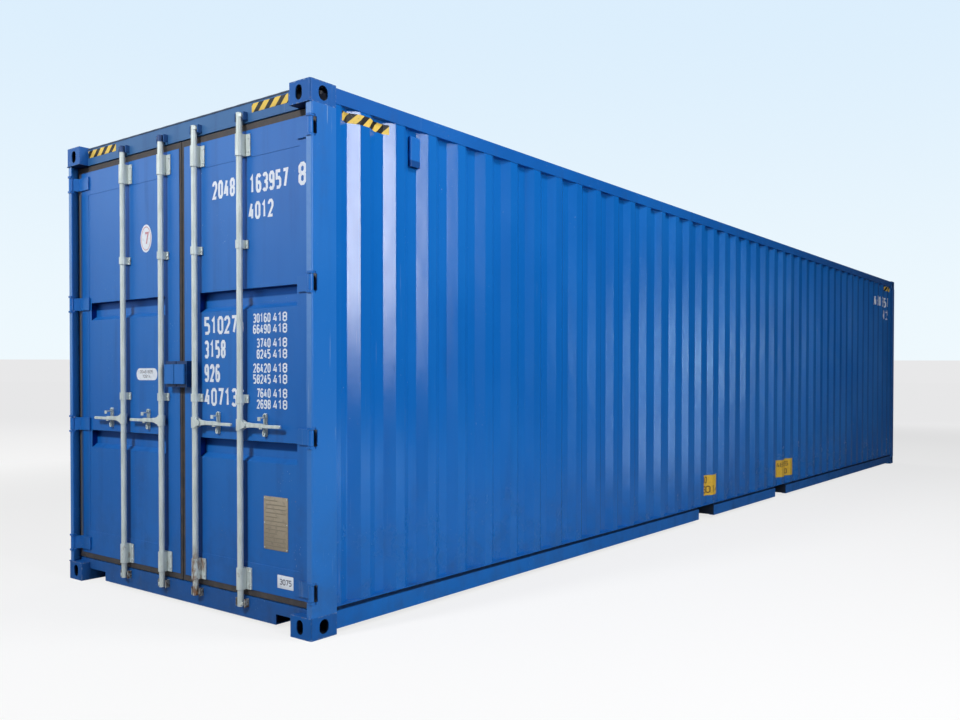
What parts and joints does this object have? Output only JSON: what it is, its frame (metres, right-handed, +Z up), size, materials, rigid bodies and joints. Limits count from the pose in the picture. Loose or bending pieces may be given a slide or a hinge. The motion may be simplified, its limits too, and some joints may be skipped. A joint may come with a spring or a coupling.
{
  "type": "shipping container",
  "caption": "Forty foot high cube steel shipping container with corrugated walls, corner castings, and double end doors with locking bars, handles and catches.",
  "frame": {"origin": "on the ground under the middle of the container", "axes": "+X along the container, from the door end to the closed front end; +Z up; +Y to the left as seen from outside the doors"},
  "size_m": [12.192, 2.438, 2.896],
  "materials": {
    "shell_paint": "gloss paint, weathered",
    "door_paint": "satin paint, faded",
    "casting_paint": "paint over cast steel, worn at the edges",
    "lock_gear_zinc": "dull galvanised steel",
    "gasket_rubber": "matt black rubber",
    "floor_plywood": "oiled hardwood plywood",
    "underframe_paint": "dark underseal"
  },
  "bodies": {
    "frame": {"bottom_castings": "casting_paint", "bottom_side_rails": "shell_paint", "cam_keepers": "shell_paint", "cross_members": "underframe_paint", "floor": "floor_plywood", "fork_pockets": "underframe_paint", "front_header": "shell_paint", "front_posts": "shell_paint", "front_sill": "shell_paint", "front_wall": "shell_paint", "gooseneck_tunnel": "underframe_paint", "hinge_lugs": "shell_paint", "left_wall": "shell_paint", "rear_header": "shell_paint", "rear_posts": "shell_paint", "rear_sill": "shell_paint", "right_wall": "shell_paint", "roof": "shell_paint", "top_castings": "casting_paint", "top_side_rails": "shell_paint", "vents": "shell_paint"},
    "left_door": {"left_door_frame": "door_paint", "left_door_panel": "door_paint", "left_door_gasket": "gasket_rubber", "left_door_hinge_blades": "lock_gear_zinc", "left_door_brackets": "lock_gear_zinc", "left_lock_box": "door_paint"},
    "right_door": {"right_door_frame": "door_paint", "right_door_panel": "door_paint", "right_door_gasket": "gasket_rubber", "right_door_hinge_blades": "lock_gear_zinc", "right_door_brackets": "lock_gear_zinc", "right_lock_box": "door_paint"},
    "left_outer_bar": {"left_outer_bar": "lock_gear_zinc"},
    "left_outer_handle": {"left_outer_handle": "lock_gear_zinc"},
    "left_outer_catch": {"left_outer_catch": "lock_gear_zinc"},
    "left_inner_bar": {"left_inner_bar": "lock_gear_zinc"},
    "left_inner_handle": {"left_inner_handle": "lock_gear_zinc"},
    "left_inner_catch": {"left_inner_catch": "lock_gear_zinc"},
    "right_inner_bar": {"right_inner_bar": "lock_gear_zinc"},
    "right_inner_handle": {"right_inner_handle": "lock_gear_zinc"},
    "right_inner_catch": {"right_inner_catch": "lock_gear_zinc"},
    "right_outer_bar": {"right_outer_bar": "lock_gear_zinc"},
    "right_outer_handle": {"right_outer_handle": "lock_gear_zinc"},
    "right_outer_catch": {"right_outer_catch": "lock_gear_zinc"}
  },
  "joints": [
    {"name": "left_door_hinge", "type": "hinge", "parent": "frame", "child": "left_door", "pos_m": [-6.078, 1.199, 1.4515], "axis": [0, 0, -1], "range_deg": [0, 265]},
    {"name": "right_door_hinge", "type": "hinge", "parent": "frame", "child": "right_door", "pos_m": [-6.078, -1.199, 1.4515], "axis": [0, 0, 1], "range_deg": [0, 265]},
    {"name": "left_outer_bar_turn", "type": "hinge", "parent": "left_door", "child": "left_outer_bar", "pos_m": [-6.062, 0.594, 1.098], "axis": [0, 0, -1], "range_deg": [-100, 0]},
    {"name": "left_outer_handle_lift", "type": "hinge", "parent": "left_outer_bar", "child": "left_outer_handle", "pos_m": [-6.062, 0.636, 1.098], "axis": [-1, 0, 0], "range_deg": [-4, 0]},
    {"name": "left_outer_catch_swing", "type": "hinge", "parent": "left_door", "child": "left_outer_catch", "pos_m": [-6.043, 0.779, 1.062], "axis": [1, 0, 0], "range_deg": [-75, 75]},
    {"name": "left_inner_bar_turn", "type": "hinge", "parent": "left_door", "child": "left_inner_bar", "pos_m": [-6.062, 0.172, 1.098], "axis": [0, 0, -1], "range_deg": [-100, 0]},
    {"name": "left_inner_handle_lift", "type": "hinge", "parent": "left_inner_bar", "child": "left_inner_handle", "pos_m": [-6.062, 0.214, 1.098], "axis": [-1, 0, 0], "range_deg": [-4, 0]},
    {"name": "left_inner_catch_swing", "type": "hinge", "parent": "left_door", "child": "left_inner_catch", "pos_m": [-6.043, 0.357, 1.062], "axis": [1, 0, 0], "range_deg": [-75, 75]},
    {"name": "right_inner_bar_turn", "type": "hinge", "parent": "right_door", "child": "right_inner_bar", "pos_m": [-6.062, -0.172, 1.098], "axis": [0, 0, 1], "range_deg": [-100, 0]},
    {"name": "right_inner_handle_lift", "type": "hinge", "parent": "right_inner_bar", "child": "right_inner_handle", "pos_m": [-6.062, -0.214, 1.098], "axis": [1, 0, 0], "range_deg": [-4, 0]},
    {"name": "right_inner_catch_swing", "type": "hinge", "parent": "right_door", "child": "right_inner_catch", "pos_m": [-6.043, -0.357, 1.062], "axis": [1, 0, 0], "range_deg": [-75, 75]},
    {"name": "right_outer_bar_turn", "type": "hinge", "parent": "right_door", "child": "right_outer_bar", "pos_m": [-6.062, -0.594, 1.098], "axis": [0, 0, 1], "range_deg": [-100, 0]},
    {"name": "right_outer_handle_lift", "type": "hinge", "parent": "right_outer_bar", "child": "right_outer_handle", "pos_m": [-6.062, -0.636, 1.098], "axis": [1, 0, 0], "range_deg": [-4, 0]},
    {"name": "right_outer_catch_swing", "type": "hinge", "parent": "right_door", "child": "right_outer_catch", "pos_m": [-6.043, -0.779, 1.062], "axis": [1, 0, 0], "range_deg": [-75, 75]}
  ]
}
